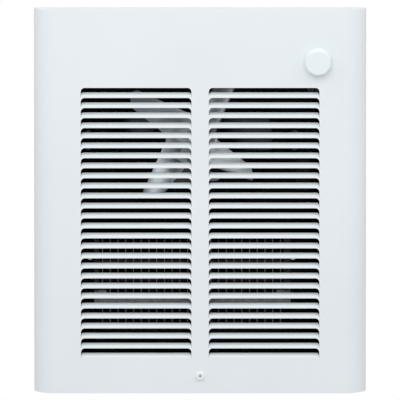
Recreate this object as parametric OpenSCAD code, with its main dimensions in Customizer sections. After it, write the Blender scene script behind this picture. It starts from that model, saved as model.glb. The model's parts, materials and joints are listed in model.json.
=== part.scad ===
// Recessed bathroom wall fan heater. Millimetres.
// X runs to the viewer's right, Y into the wall and Z up.
// The origin is the centre of the cover's outline on the wall's surface, which is the plane Y = 0.

/* [Cover] */
// Width of the cover across its rolled sides
cover_w = 362; // [355:1:380]
// Height of the cover
cover_h = 422; // [412:1:430]
// How far the cover stands out from the wall
cover_d = 26; // [26:0.5:34]
// Thickness of the cover's sheet steel
cover_t = 1.2; // [0.8:0.1:1.6]
// Outside radius of the rolled sides
roll_r = 25; // [15:0.5:25.5]
// Height of the cover screw above the cover's lower edge
screw_up = 19.5; // [15:0.5:22]

/* [Louvres] */
// Rows of louvres in each column
louvre_rows = 27; // [15:1:27]
// Distance from one row to the next
louvre_pitch = 11.05; // [10:0.05:11.1]
// Distance of the top slot from the cover's upper edge
louvre_down = 85; // [80:0.5:88]
// Width of one slot
slot_w = 120.4; // [90:0.2:124]
// Width of the plain strip between the columns
mullion_w = 19; // [14:0.2:26]
// Radius of a slot's upper corners
slot_r = 4.2; // [2:0.1:4.5]
// Height of the flat strip left between two rows
strip_h = 1.2; // [0.8:0.1:2]
// Outside radius of the bend at a blade's foot
bend_r = 2.2; // [1.8:0.1:2.6]
// Length of a blade beyond its bend
blade_len = 4.9; // [4:0.1:6]
// Rise of a blade above the horizontal, in degrees
blade_tilt = 27; // [15:1:40]

/* [Knob] */
// Distance of the knob's axis from the cover's right edge
knob_in = 52.5; // [50:0.5:64]
// Distance of the knob's axis from the cover's upper edge
knob_down = 56.5; // [54:0.1:60]
// Diameter of the knob's skirt
knob_d = 31; // [26:0.5:34]
// Diameter of the knob's face
knob_face_d = 27; // [20:0.5:28]
// Height of the knob
knob_h = 8; // [7:0.5:14]
// Diameter of the thermostat's shaft
stat_shaft_d = 6; // [5:0.5:6.5]

/* [Wall box] */
// How far the cover reaches past the wall box at each side
box_in_w = 11; // [8:0.5:14]
// How far the cover reaches past the wall box above and below
box_in_h = 16; // [8:0.5:18]
// Depth of the wall box
box_d = 98; // [94:1:120]
// Thickness of the wall box's sheet steel
box_t = 1; // [0.8:0.1:1.5]
// Diameter of a conduit knockout
knockout_d = 22.2; // [20:0.1:28]
// Diameter of the holes for the stud screws
stud_hole_d = 5; // [4:0.5:6]
// Distance between the stud holes, front to back
stud_rows = 60; // [40:1:64]
// Distance between the stud holes, up and down
stud_span = 240; // [200:5:260]

/* [Fan] */
// Radius of the fan at its tips
fan_r = 82; // [76:0.5:86]
// Height of the fan's axis above the cover's centre
fan_z = 64.5; // [58:0.5:72]
// Distance of the blades' root plane behind the fan deck
fan_set = 9.8; // [9:0.5:14]
// Number of wings
wing_count = 4; // [3:1:5]
// Thickness of the blade's sheet
wing_t = 1.2; // [1:0.1:1.6]
// Pitch of a wing along its middle, in degrees
wing_pitch = 16; // [12:1:17]
// Radius of a wing's camber
camber_r = 120; // [110:5:160]
// Gap between the wing tips and the fan ring
tip_gap = 6; // [3:0.5:8]
// Diameter of the motor's shaft
shaft_d = 6; // [5:0.5:7]

/* [Motor] */
// Depth of the stack of laminations
stack_d = 20; // [14:1:24]
// Diameter of the rotor
rotor_d = 28; // [24:0.5:30]
// Gap between rotor and laminations
air_gap = 0.4; // [0.3:0.1:0.8]
// Thickness of the coil around its core
coil_t = 8; // [6:0.5:8]

/* [Heating bank] */
// Number of fins
fin_count = 24; // [18:1:25]
// Distance from one fin to the next
fin_pitch = 8.45; // [8:0.05:9]
// Height of a fin
fin_h = 76; // [74:1:80]
// Depth of a fin
fin_d = 36; // [30:1:38]
// Thickness of a fin
fin_t = 0.5; // [0.4:0.1:0.8]
// Diameter of the sheath tube
tube_d = 8; // [7:0.5:8.5]
// Distance between two runs of the tube
run_pitch = 19; // [18:0.5:20]
// How far fan and bank sit to the left of the cover's centre
works_left = 9.4; // [4:0.2:10]

/* [Hidden] */
$fn = 64;

// General clearances
cut = 1;            // how far a cutter runs past what it cuts
seat_gap = 0.3;     // between pieces that nearly touch
run_gap = 0.05;     // radial, between a shaft and its bearing
fit_gap = 0.02;     // radial, between pieces pushed together
pass_gap = 0.4;     // radial, round a screw's shank
arc_steps = 6;      // straight pieces in the arc of an outline

// Cover
front_y = -cover_d;
inner_y = front_y + cover_t;
cover_top = cover_h / 2;
louvre_z = cover_top - louvre_down;
slot_h = louvre_pitch - strip_h;
column_x = (mullion_w + slot_w) / 2;
strip_root = strip_h / 2;
bend_turn = 90 - blade_tilt;
blade_side_gap = 0.3;
blade_tip_y = bend_r - (bend_r - cover_t) * cos(bend_turn) + blade_len * cos(blade_tilt);
blade_corner_r = min(slot_r, blade_tip_y - bend_r);
knob_x = cover_w / 2 - knob_in;
knob_z = cover_top - knob_down;
knob_gap = 0.4;
knob_edge_r = 1.2;
knob_skirt_h = 2.2;
knob_back_y = front_y - knob_gap;
shaft_hole_r = stat_shaft_d / 2 + 2.5;
cover_screw_z = screw_up - cover_top;
cover_screw_r = 2.1;
cover_screw_head_r = 4.7;
cover_screw_head_h = 2.6;
bracket_set = 14;
cover_screw_over = 3.8;
cover_screw_l = cover_t + bracket_set + cover_screw_over;
bracket_w = 24;
bracket_t = 1.2;
bracket_up = 8.4;
bracket_down = 8;
bracket_foot = 12;

// Wall box
box_w = cover_w - 2 * box_in_w;
box_h = cover_h - 2 * box_in_h;
knockout_in = 50;
knockout_up = 45;
knockout_y = 60;
knock_x = box_w / 2 - knockout_in;
groove_w = 0.8;
ground_x = -knock_x;
ground_up = 22;
ground_z = ground_up - box_h / 2;
ground_r = 2.4;
ground_head_r = 4.6;
ground_head_h = 2.6;
ground_pad_r = 9;
ground_pad_h = 4;
ground_y = box_d - 2 * box_t - ground_pad_h;

// Fan deck: the black plate that carries fan, heating bank, thermostat and switch
deck_y = 3.2;
deck_t = 1;
deck_back = deck_y + deck_t;
deck_gap = 2;
deck_w = box_w - 2 * (box_t + deck_gap);
deck_h = box_h - 2 * (box_t + deck_gap);
deck_flange = 14;
deck_corner = 12;
deck_screw_in = 6;
deck_screw_down = 70;
deck_screw_x = deck_w / 2 - deck_screw_in;
deck_screw_z = deck_h / 2 - deck_screw_down;
deck_screw_r = 2;
deck_screw_head_r = 4;
deck_screw_head_h = 2.2;
deck_screw_l = 9;
ring_lip_r = 6;
ring_r = fan_r + tip_gap;
ring_deep = 8;
ring_flange_w = 6;
tab_w = 14;
tab_h = 22;
hook_x = 86;
hook_w = 20;
hook_t = 1.2;
hook_drop = 8;
hook_foot = 14;
hook_play = 2;
hook_z = deck_h / 2 - 13;

// Divider between the intake and the outlet
divider_t = 1;
divider_gap = 5.5;
divider_z = fan_z - ring_r - ring_lip_r - divider_gap;
divider_in = 7;
divider_w = deck_w - 2 * divider_in;
divider_flange = 9;
divider_front_y = inner_y + 7;

// Heating bank
bank_x = -works_left;
bank_w = (fin_count - 1) * fin_pitch;
outlet_top = divider_z - divider_flange;
fin_top = outlet_top - 2;
fin_mid_z = fin_top - fin_h / 2;
fin_bottom = fin_top - fin_h;
fin_set = 10.1;
fin_y = deck_back + fin_set;
fin_mid_y = fin_y + fin_d / 2;
fin_corner_r = 3;
tube_r = tube_d / 2;
run_count = 4;
run_top_z = fin_mid_z + (run_count - 1) * run_pitch / 2;
frame_t = 1;
frame_gap = 4;
frame_left = bank_x - bank_w / 2 - frame_gap - frame_t;
frame_right = bank_x + bank_w / 2 + frame_gap + frame_t;
frame_front_y = fin_y - seat_gap - frame_t;
frame_bottom = fin_bottom - seat_gap - frame_t;
frame_back_y = fin_y + fin_d;
frame_ear = 15;
frame_lip_h = 12;
frame_lip_rise = 21;
frame_lip_arm = 9;
frame_lip_r = 8;
frame_ear_screws = [0.2, 0.75];
ear_in = 2;
cutout_tab_w = 24;
cutout_tab_h = 25;
cutout_flange_r = 9.5;
cutout_r = 8;
cutout_cap_r = 5;
cutout_l = 7;
cutout_down = 12;
cutout_tab_x = 4;
outlet_bottom = frame_bottom - 35;
outlet_left = frame_left - 4;
outlet_right = frame_right + 6;
outlet_r = 4;
element_screw_r = 1.6;
element_screw_head_r = 3.2;
element_screw_head_h = 1.8;
element_screw_l = 6;
insulator_l = 6;
insulator_r = 3.4;
terminal_r = 1.5;
terminal_out = 2;
tab_blade_w = 6.3;
tab_blade_t = 0.8;
tab_blade_l = 10;
tube_tail = 2;

// Deflector under the heating bank
deflector_t = 1;
deflector_over = 12;
deflector_flange = 12;
deflector_lip = 1.5;
deflector_drop = 6;
deflector_back = 8;
deflector_rise = 28;

// Fan
fan_x = -works_left;
fan_y = deck_back + fan_set;
wing_phase_angle = -41;
wing_lead = 3;
wing_trail = 18;
wing_cut_back = 6;
wing_corner_r = 8;
wing_root_x = 12;
wing_root_lead = 22;
wing_root_trail = 16;
disc_r = 28;
hub_r = 8;
hub_flange_r = 11.5;
hub_flange_t = 2;
hub_l = 14;
set_screw_r = 2;
set_screw_y = fan_y + wing_t / 2 + hub_l - 4;
shaft_r = shaft_d / 2;
shaft_front_y = fan_y - 6;

// Motor, placed behind the fan
motor_set = 24;
mount_t = 1.5;
mount_w = 34;
mount_y = fan_y + motor_set;
mount_arm_x = ring_r + ring_lip_r + 12;
mount_ear = 13;
mount_slot_gap = 0.6;
mount_screw_x = mount_arm_x + mount_ear / 2;
mount_screw_z = mount_w / 4;
mount_screw_r = 1.6;
mount_screw_head_r = 3;
mount_screw_head_h = 1.8;
mount_screw_l = 7;
cap_t = 5;
cap_front_y = mount_y + mount_t;
stack_y = cap_front_y + cap_t;
cap_rear_y = stack_y + stack_d;
boss_r = 9;
boss_l = 6;
bearing_r = 5.5;
bearing_l = boss_l + cap_t - 1;
shaft_end_y = cap_rear_y + cap_t + boss_l + 2.5;
pole_r = rotor_d / 2 + air_gap;
stack_w = 62;
stack_top = 24;
core_h = 13;
window_h = coil_t + 10;
window_w = 39;
window_z = -pole_r - 6.6 - window_h;
stack_bottom = window_z - core_h;
stack_corner_r = 5;
tie_x = 24.5;
tie_r = 1.8;
tie_head_r = 3.5;
tie_head_h = 2.2;
tie_nut_h = 2.6;
tie_over = 2;
cap_ear_r = 6;
bobbin_gap = 0.3;
bobbin_t = 1;
bobbin_w = 37;
bobbin_lip = 1;
coil_corner_r = 3;
ring_wire = 2;
ring_slot_z = 9;

// Thermostat, carried in front of the deck behind the knob
stat_set = 9.8;
stat_plate_y = inner_y + stat_set;
stat_plate_t = 1;
stat_w = 30;
stat_h = 34;
stat_body_y = stat_plate_y + stat_plate_t;
stat_d = deck_y - stat_body_y - 2;
stat_leg_x = 21;
stat_foot = 8;
bushing_r = 4.5;
bushing_l = 6;
nut_r = 7.5;
nut_t = 2.4;
stat_shaft_front_y = knob_back_y - knob_h + 1.5;
stat_shaft_deep = 6;
stat_tab_l = 20;
stat_tab_y = stat_body_y + 7;
stat_tab_x = [-8, 0];

// Disconnect switch
switch_x = 113;
switch_down = 38.5;
switch_z = fan_z - switch_down;
switch_w = 12.4;
switch_h = 30;
switch_d = 22;
bezel_w = 16;
bezel_h = 34;
bezel_t = 1.5;
rocker_w = 8.4;
rocker_r = 12.7;
rocker_gap = 0.3;
rocker_face = 9.5;
rocker_tilt = 10;
rocker_y = deck_y - bezel_t + rocker_face - 1;
rocker_pin_r = 1.25;
rocker_pin_l = 11.4;

// Points of an arc round (x, y)
function arc(x, y, r, from, to, steps = arc_steps) =
    [for (i = [0:steps]) [x, y] + r * [for (f = [0, 90]) cos(from + (to - from) * i / steps - f)]];

// An outline seen from the front, made into a plate from depth y to y + t
module plate(y, t) {
    translate([0, y + t, 0]) rotate([90, 0, 0]) linear_extrude(t) children();
}

// An outline drawn as (Y, Z), made into a bar that runs w along X from x
module bar(x, w) {
    translate([x, 0, 0]) rotate([90, 0, 90]) linear_extrude(w) children();
}

// A round rod along Y, its front end at (x, y, z)
module rod_y(x, y, z, r, l) {
    translate([x, y, z]) rotate([-90, 0, 0]) cylinder(h = l, r = r);
}

// A round rod along X, its left end at (x, y, z)
module rod_x(x, y, z, r, l) {
    translate([x, y, z]) rotate([0, 90, 0]) cylinder(h = l, r = r);
}

// A rectangle with round corners about the origin
module round_rect(w, h, r) {
    polygon(concat(
        arc(w / 2 - r, h / 2 - r, r, 0, 90), arc(r - w / 2, h / 2 - r, r, 90, 180),
        arc(r - w / 2, r - h / 2, r, 180, 270), arc(w / 2 - r, r - h / 2, r, 270, 360)));
}

// A folded strip of thickness t whose middle line runs through the points
module folded(points, t) {
    for (i = [0:len(points) - 2]) {
        step = points[i + 1] - points[i];
        translate(points[i]) rotate(atan2(step[1], step[0])) translate([0, -t / 2]) square([norm(step), t]);
        if (i > 0) translate(points[i]) circle(t / 2);
    }
}

// A pan-head screw that points along +Y, its head's underside at (x, y, z)
module pan_screw(x, y, z, head_r, head_h, shank_r, l) {
    recess = head_r / 4;
    translate([x, y, z]) rotate([-90, 0, 0]) difference() {
        union() {
            cylinder(h = l, r = shank_r);
            rotate_extrude() polygon(concat(
                [[0, -head_h], [0, 0], [head_r, 0]],
                arc(head_r - head_h / 2, -head_h / 2, head_h / 2, 0, -90)));
        }
        for (turn = [0, 90]) rotate(turn)
            translate([-head_r / 2, -recess / 2, -head_h - cut]) cube([head_r, recess, cut + head_h / 2]);
    }
}

// ---- Cover ----

// The cover's section seen from above, drawn in by inset; the open side reaches back to rear
module cover_plan(inset, rear) {
    r = roll_r - inset;
    roll_y = front_y + roll_r;
    roll_x = cover_w / 2 - roll_r;
    translate([-roll_x, front_y + inset]) square([2 * roll_x, rear - front_y - inset]);
    for (side = [-1, 1]) intersection() {
        translate([side * roll_x, roll_y]) circle(r);
        translate([-cover_w, front_y]) square([2 * cover_w, roll_r]);
    }
    translate([inset - cover_w / 2, roll_y]) square([cover_w - 2 * inset, rear - roll_y]);
}

module cover_shell() {
    difference() {
        translate([0, 0, -cover_top]) linear_extrude(cover_h) cover_plan(0, 0);
        translate([0, 0, cover_t - cover_top]) linear_extrude(cover_h - 2 * cover_t) cover_plan(cover_t, cut);
    }
}

// One slot's outline, its lower edge at the origin's height
module slot_outline() {
    polygon(concat(
        [[-slot_w / 2, 0], [slot_w / 2, 0]], arc(slot_w / 2 - slot_r, slot_h - slot_r, slot_r, 0, 90),
        arc(slot_r - slot_w / 2, slot_h - slot_r, slot_r, 90, 180)));
}

module louvre_slots() {
    plate(front_y - cut, cover_t + 2 * cut)
        for (side = [-1, 1], row = [1:louvre_rows])
            translate([side * column_x, louvre_z - row * louvre_pitch + strip_h]) slot_outline();
}

// A blade's section, starting inside the strip below it and bending back and up
module blade_section() {
    inside_r = bend_r - cover_t;
    reach = blade_len * [cos(blade_tilt), sin(blade_tilt)];
    outside = arc(bend_r, 0, bend_r, 180, 180 - bend_turn);
    inside = arc(bend_r, 0, inside_r, 180 - bend_turn, 180);
    polygon(concat(
        [[0, -strip_root]], outside, [outside[arc_steps] + reach, inside[0] + reach], inside,
        [[cover_t, -strip_root]]));
}

// The blades of both columns, with their rear corners rounded
module louvre_blades() {
    blade_w = slot_w - 2 * blade_side_gap;
    tip_y = front_y + blade_tip_y;
    corner = blade_corner_r;
    intersection() {
        for (row = [1:louvre_rows])
            translate([0, front_y, louvre_z - row * louvre_pitch + strip_h])
                bar(-mullion_w / 2 - slot_w, mullion_w + 2 * slot_w) blade_section();
        translate([0, 0, -cover_top]) linear_extrude(cover_h)
            for (side = [-1, 1]) translate([side * column_x, 0]) polygon(concat(
                [[-blade_w / 2, front_y - cut], [blade_w / 2, front_y - cut]],
                arc(blade_w / 2 - corner, tip_y - corner, corner, 0, 90),
                arc(corner - blade_w / 2, tip_y - corner, corner, 90, 180)));
    }
}

module front_cover() {
    color("whitesmoke") {
        difference() {
            cover_shell();
            louvre_slots();
            rod_y(knob_x, front_y - cut, knob_z, shaft_hole_r, cover_t + 2 * cut);
            rod_y(0, front_y - cut, cover_screw_z, cover_screw_r + pass_gap, cover_t + 2 * cut);
        }
        louvre_blades();
    }
}

// Two folded hooks, welded inside the cover, that hang it in the fan deck's slots
module cover_hooks() {
    foot_y = inner_y + hook_t / 2;
    tip_y = deck_back + seat_gap + hook_t / 2;
    color("silver") for (side = [-1, 1]) bar(side * hook_x - hook_w / 2, hook_w)
        folded([[foot_y, hook_z + hook_foot], [foot_y, hook_z], [tip_y, hook_z], [tip_y, hook_z - hook_drop]],
            hook_t);
}

module cover_screw() {
    color("whitesmoke")
        pan_screw(0, front_y, cover_screw_z,
            cover_screw_head_r, cover_screw_head_h, cover_screw_r, cover_screw_l);
}

// Folded bracket on the deck that takes the cover screw
module cover_screw_bracket() {
    t = bracket_t;
    foot_y = deck_y - t / 2;
    face_y = inner_y + bracket_set;
    fold_z = cover_screw_z + bracket_up;
    color("silver") difference() {
        bar(-bracket_w / 2, bracket_w) folded([
            [foot_y, fold_z + bracket_foot], [foot_y, fold_z],
            [face_y, fold_z], [face_y, cover_screw_z - bracket_down]], t);
        rod_y(0, face_y - t - cut, cover_screw_z, cover_screw_r + fit_gap, 2 * (t + cut));
    }
}

// ---- Wall box ----

// Stamped ring that marks a closed knockout, cut into the face at depth 0
module knockout_groove() {
    difference() {
        cylinder(h = groove_w, r = knockout_d / 2, center = true);
        cylinder(h = 2 * cut, r = knockout_d / 2 - groove_w, center = true);
    }
}

// The box is folded from one blank, so its back, sides and ends meet face to face at the folds
module wall_box_back() {
    plate_y = box_d - box_t;
    color("silver") difference() {
        union() {
            plate(plate_y, box_t) square([box_w, box_h], center = true);
            rod_y(ground_x, ground_y, ground_z, ground_pad_r, ground_pad_h + box_t);
        }
        for (up = [-1, 1])
            translate([-knock_x, box_d, up * (box_h / 2 - knockout_up)]) rotate([90, 0, 0]) knockout_groove();
        rod_y(ground_x, plate_y - ground_pad_h, ground_z, ground_pad_r - box_t, ground_pad_h + 2 * box_t);
        rod_y(ground_x, ground_y - cut, ground_z, ground_r + fit_gap, box_t + 2 * cut);
    }
}

module wall_box_sides() {
    color("silver") for (side = [0, 1]) mirror([side, 0, 0]) difference() {
        translate([-box_w / 2, 0, -box_h / 2]) cube([box_t, box_d - box_t, box_h]);
        for (deep = [0, 1], up = [-1, 1])
            rod_x(-box_w / 2 - cut, stud_y(deep), up * stud_span / 2, stud_hole_d / 2, box_t + 2 * cut);
    }
}

// Top and bottom of the box with the conduit knockouts, one of them knocked out
module wall_box_ends() {
    w = box_w - 2 * box_t;
    color("silver") difference() {
        for (z = [-box_h / 2, box_h / 2 - box_t]) translate([-w / 2, 0, z]) cube([w, box_d - box_t, box_t]);
        translate([-knock_x, knockout_y, -box_h / 2 - cut]) cylinder(h = box_t + 2 * cut, r = knockout_d / 2);
        for (side = [-1, 1]) translate([side * knock_x, knockout_y, box_h / 2]) knockout_groove();
        translate([knock_x, knockout_y, -box_h / 2]) knockout_groove();
    }
}

// Four tabs, welded inside the box, that the fan deck is screwed to
module deck_tabs() {
    color("silver") for (side = [-1, 1], up = [-1, 1]) difference() {
        translate([side * (box_w / 2 - box_t - tab_w / 2), 0, up * deck_screw_z])
            plate(deck_back, box_t) square([tab_w, tab_h], center = true);
        rod_y(side * deck_screw_x, 0, up * deck_screw_z, deck_screw_r + fit_gap, deck_back + box_t + cut);
    }
}

function stud_y(deep) = box_d / 2 - stud_rows / 2 + deep * stud_rows;

module ground_screw() {
    color("seagreen") pan_screw(
        ground_x, ground_y, ground_z, ground_head_r, ground_head_h, ground_r, ground_pad_h + box_t);
}

// ---- Fan deck ----

// Spun ring, welded behind the deck's round hole, that the fan turns in
module fan_ring() {
    color("dimgray") translate([fan_x, 0, fan_z]) rotate([-90, 0, 0]) rotate_extrude($fn = 96) {
        translate([ring_r + ring_lip_r, deck_back + ring_lip_r]) intersection() {
            difference() {
                circle(ring_lip_r);
                circle(ring_lip_r - deck_t);
            }
            translate([-ring_lip_r, -ring_lip_r]) square(ring_lip_r);
        }
        translate([ring_r, deck_back + ring_lip_r]) square([deck_t, ring_deep]);
        translate([ring_r + ring_lip_r, deck_back]) square([ring_flange_w, deck_t]);
    }
}

module deck_outline() {
    difference() {
        square([deck_w, deck_h], center = true);
        translate([fan_x, fan_z]) circle(ring_r + ring_lip_r, $fn = 96);
        translate([(outlet_left + outlet_right) / 2, (outlet_top + outlet_bottom) / 2])
            round_rect(outlet_right - outlet_left, outlet_top - outlet_bottom, outlet_r);
        for (side = [-1, 1]) {
            translate([side * hook_x - hook_w / 2 - hook_play, hook_z - hook_t / 2])
                square([hook_w + 2 * hook_play, hook_t + hook_drop]);
            translate([fan_x + side * (mount_arm_x - mount_t / 2), fan_z])
                square([mount_t + 2 * mount_slot_gap, mount_w + 2 * mount_slot_gap], center = true);
            for (up = [-1, 1]) {
                translate([side * deck_screw_x, up * deck_screw_z]) circle(deck_screw_r + pass_gap);
                translate([fan_x + side * mount_screw_x, fan_z + up * mount_screw_z])
                    circle(mount_screw_r + fit_gap);
            }
        }
        for (x = [ear_screw_x(-1), ear_screw_x(1)], up = frame_ear_screws)
            translate([x, fin_bottom + up * fin_h]) circle(element_screw_r + pass_gap);
        translate([switch_x, switch_z])
            square([switch_w + 2 * seat_gap, switch_h + 2 * seat_gap], center = true);
    }
}

module fan_deck() {
    flange_w = deck_w - 2 * deck_corner;
    color("dimgray") {
        plate(deck_y, deck_t) deck_outline();
        for (up = [0, 1]) mirror([0, 0, up])
            translate([-flange_w / 2, deck_y, deck_h / 2 - deck_t]) cube([flange_w, deck_flange, deck_t]);
    }
}

module deck_screws() {
    color("silver") for (side = [-1, 1], up = [-1, 1])
        pan_screw(side * deck_screw_x, deck_y, up * deck_screw_z,
            deck_screw_head_r, deck_screw_head_h, deck_screw_r, deck_screw_l);
}

// Folded divider that keeps the warm outlet apart from the intake
module air_divider() {
    flat_y = deck_y - divider_t / 2;
    color("dimgray") bar(-divider_w / 2, divider_w) folded([
        [divider_front_y, divider_z], [flat_y, divider_z],
        [flat_y, divider_z - divider_flange + divider_t]], divider_t);
}

// Bright folded sheet that turns the air forwards under the heating bank
module lower_deflector() {
    flange_y = deck_back + deflector_t / 2;
    left = outlet_left - deflector_over;
    color("silver") bar(left, outlet_right + deflector_over - left) folded([
        [flange_y, outlet_bottom - deflector_flange], [flange_y, outlet_bottom - deflector_lip],
        [frame_back_y, frame_bottom - deflector_drop],
        [box_d - box_t - deflector_back, frame_bottom + deflector_rise]], deflector_t);
}

// ---- Fan ----

// A wing's outline as seen from the front, pointing along +X
module wing_outline() {
    lead_x = sqrt(pow(fan_r - wing_corner_r, 2) - pow(wing_lead - wing_corner_r, 2));
    lead_z = wing_corner_r - wing_lead;
    trail_x = lead_x - wing_cut_back;
    trail_z = wing_trail - wing_corner_r;
    tip_angle = atan2(trail_z - lead_z, trail_x - lead_x) - 90;
    polygon(concat(
        [[wing_root_x, -wing_root_lead]], arc(lead_x, lead_z, wing_corner_r, -90, tip_angle),
        arc(trail_x, trail_z, wing_corner_r, tip_angle, 90), [[wing_root_x, wing_root_trail]]));
}

// One cambered wing: the outline, cut out of a bent sheet
module wing() {
    mean_r = camber_r + wing_t / 2;
    drop = mean_r * sin(wing_pitch);
    back = mean_r * cos(wing_pitch);
    intersection() {
        plate(-camber_r / 4, camber_r / 2) wing_outline();
        translate([0, back, -drop]) rotate([0, 90, 0]) difference() {
            cylinder(h = fan_r + cut, r = mean_r + wing_t / 2, $fn = 180);
            translate([0, 0, -cut]) cylinder(h = fan_r + 3 * cut, r = mean_r - wing_t / 2, $fn = 180);
        }
    }
}

module fan_blade() {
    color("gainsboro") translate([fan_x, fan_y, fan_z]) difference() {
        union() {
            for (i = [0:wing_count - 1]) rotate([0, -wing_phase_angle - i * 360 / wing_count, 0]) wing();
            rod_y(0, -wing_t / 2, 0, disc_r, wing_t);
        }
        rod_y(0, -disc_r, 0, hub_r + fit_gap, 2 * disc_r);
    }
}

// Turned hub with a flange that carries the blade
module fan_hub() {
    flange_y = fan_y + wing_t / 2;
    color("darkgray") difference() {
        union() {
            rod_y(fan_x, flange_y - hub_l / 3, fan_z, hub_r, hub_l + hub_l / 3);
            rod_y(fan_x, flange_y + fit_gap, fan_z, hub_flange_r, hub_flange_t);
        }
        rod_y(fan_x, flange_y - hub_l, fan_z, shaft_r + fit_gap, 3 * hub_l);
        translate([fan_x, set_screw_y, fan_z]) cylinder(h = hub_r + cut, r = set_screw_r + fit_gap);
    }
}

module hub_set_screw() {
    color("dimgray") translate([fan_x, set_screw_y, fan_z + shaft_r + 2 * fit_gap]) difference() {
        cylinder(h = hub_r - shaft_r, r = set_screw_r);
        translate([0, 0, hub_r - shaft_r - 2]) cylinder(h = 2 + cut, r = set_screw_r / 2, $fn = 6);
    }
}

// ---- Motor ----

module motor_shaft() {
    color("silver") rod_y(fan_x, shaft_front_y, fan_z, shaft_r, shaft_end_y - shaft_front_y);
}

module motor_rotor() {
    end_gap = 0.5;
    l = stack_d - 2 * end_gap;
    color("darkgray") difference() {
        rod_y(fan_x, stack_y + end_gap, fan_z, rotor_d / 2, l);
        rod_y(fan_x, stack_y, fan_z, shaft_r + fit_gap, stack_d);
    }
}

// The laminations' outline about the motor's axis: pole ring above, window and coil core below
module lamination_outline() {
    difference() {
        translate([0, (stack_top + stack_bottom) / 2])
            round_rect(stack_w, stack_top - stack_bottom, stack_corner_r);
        circle(pole_r);
        translate([-window_w / 2, window_z]) square([window_w, window_h]);
        for (side = [-1, 1]) {
            translate([side * tie_x, 0]) circle(tie_r + pass_gap);
            translate([side * (pole_r - cut), side * ring_slot_z])
                square([2 * (ring_wire + cut), ring_wire + 2 * seat_gap], center = true);
        }
    }
}

module motor_laminations() {
    color("slategray") translate([fan_x, 0, fan_z]) plate(stack_y, stack_d) lamination_outline();
}

// Copper shading rings laid in the poles' slots
module shading_rings() {
    color("chocolate") for (side = [-1, 1]) translate([fan_x, 0, fan_z + side * ring_slot_z])
        translate([side * (pole_r + ring_wire / 2 - seat_gap) - ring_wire / 2, stack_y, -ring_wire / 2])
            cube([ring_wire, stack_d, ring_wire]);
}

// Rectangle of the coil's section about its core, drawn out by grow, in the Y-Z plane
module core_section(grow, r) {
    translate([stack_y + stack_d / 2, fan_z + stack_bottom + core_h / 2])
        round_rect(stack_d + 2 * grow, core_h + 2 * grow, r);
}

module coil_bobbin() {
    inner = bobbin_gap;
    outer = inner + bobbin_t;
    lip = outer + coil_t + bobbin_lip - bobbin_t;
    color("ivory") difference() {
        union() {
            bar(fan_x - bobbin_w / 2, bobbin_w) core_section(outer, bobbin_t);
            for (x = [-bobbin_w / 2, bobbin_w / 2 - bobbin_t])
                bar(fan_x + x, bobbin_t) core_section(lip, coil_corner_r);
        }
        bar(fan_x - bobbin_w, 2 * bobbin_w) core_section(inner, inner);
    }
}

module motor_coil() {
    inner = bobbin_gap + bobbin_t + fit_gap;
    w = bobbin_w - 2 * (bobbin_t + fit_gap);
    color("saddlebrown") difference() {
        bar(fan_x - w / 2, w) core_section(inner + coil_t - 2 * bobbin_lip, coil_corner_r);
        bar(fan_x - w, 2 * w) core_section(inner, bobbin_t);
    }
}

// A motor end bracket from depth y, its boss pointing forwards (way = -1) or back (way = 1)
module motor_cap(y, way) {
    boss_y = way < 0 ? y - boss_l : y;
    color("darkgray") difference() {
        union() {
            translate([fan_x, 0, fan_z]) plate(y, cap_t) {
                circle(pole_r + 1);
                square([2 * tie_x, 2 * cap_ear_r], center = true);
                for (side = [-1, 1]) translate([side * tie_x, 0]) circle(cap_ear_r);
            }
            rod_y(fan_x, boss_y, fan_z, boss_r, cap_t + boss_l);
        }
        rod_y(fan_x, boss_y - cut, fan_z, bearing_r + fit_gap, cap_t + boss_l + 2 * cut);
        for (side = [-1, 1])
            rod_y(fan_x + side * tie_x, y - cut, fan_z, tie_r + pass_gap, cap_t + 2 * cut);
    }
}

module motor_front_bracket() {
    motor_cap(cap_front_y, -1);
}

module motor_rear_bracket() {
    motor_cap(cap_rear_y, 1);
}

// Bronze sleeves, one in each end bracket
module motor_bearings() {
    front = cap_front_y - boss_l;
    rear = cap_rear_y + cap_t + boss_l - bearing_l;
    color("peru") for (y = [front, rear]) difference() {
        rod_y(fan_x, y, fan_z, bearing_r, bearing_l);
        rod_y(fan_x, y - cut, fan_z, shaft_r + run_gap, bearing_l + 2 * cut);
    }
}

// Two through screws with hexagon nuts that clamp the motor to its mount
module motor_tie_screws() {
    nut_y = cap_rear_y + cap_t;
    color("silver") for (side = [-1, 1]) {
        pan_screw(fan_x + side * tie_x, mount_y, fan_z,
            tie_head_r, tie_head_h, tie_r, nut_y - mount_y + tie_nut_h + tie_over);
        translate([fan_x + side * tie_x, nut_y, fan_z]) rotate([-90, 0, 0])
            cylinder(h = tie_nut_h, r = tie_head_r, $fn = 6);
    }
}

// Folded strap behind the fan that carries the motor
module motor_mount() {
    arm_x = mount_arm_x - mount_t / 2;
    ear_y = deck_y - mount_t / 2;
    web_y = mount_y + mount_t / 2;
    ear_x = mount_arm_x + mount_ear;
    color("silver") difference() {
        translate([fan_x, 0, fan_z - mount_w / 2]) linear_extrude(mount_w) folded([
            [-ear_x, ear_y], [-arm_x, ear_y], [-arm_x, web_y],
            [arm_x, web_y], [arm_x, ear_y], [ear_x, ear_y]], mount_t);
        rod_y(fan_x, mount_y - cut, fan_z, boss_r + pass_gap, mount_t + 2 * cut);
        for (side = [-1, 1]) {
            rod_y(fan_x + side * tie_x, mount_y - cut, fan_z, tie_r + pass_gap, mount_t + 2 * cut);
            for (up = [-1, 1]) translate([fan_x + side * mount_screw_x, 0, fan_z + up * mount_screw_z])
                rod_y(0, deck_y - mount_t - cut, 0, mount_screw_r + pass_gap, mount_t + 2 * cut);
        }
    }
}

module motor_mount_screws() {
    color("silver") for (side = [-1, 1], up = [-1, 1])
        pan_screw(fan_x + side * mount_screw_x, deck_y - mount_t, fan_z + up * mount_screw_z,
            mount_screw_head_r, mount_screw_head_h, mount_screw_r, mount_screw_l);
}

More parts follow.
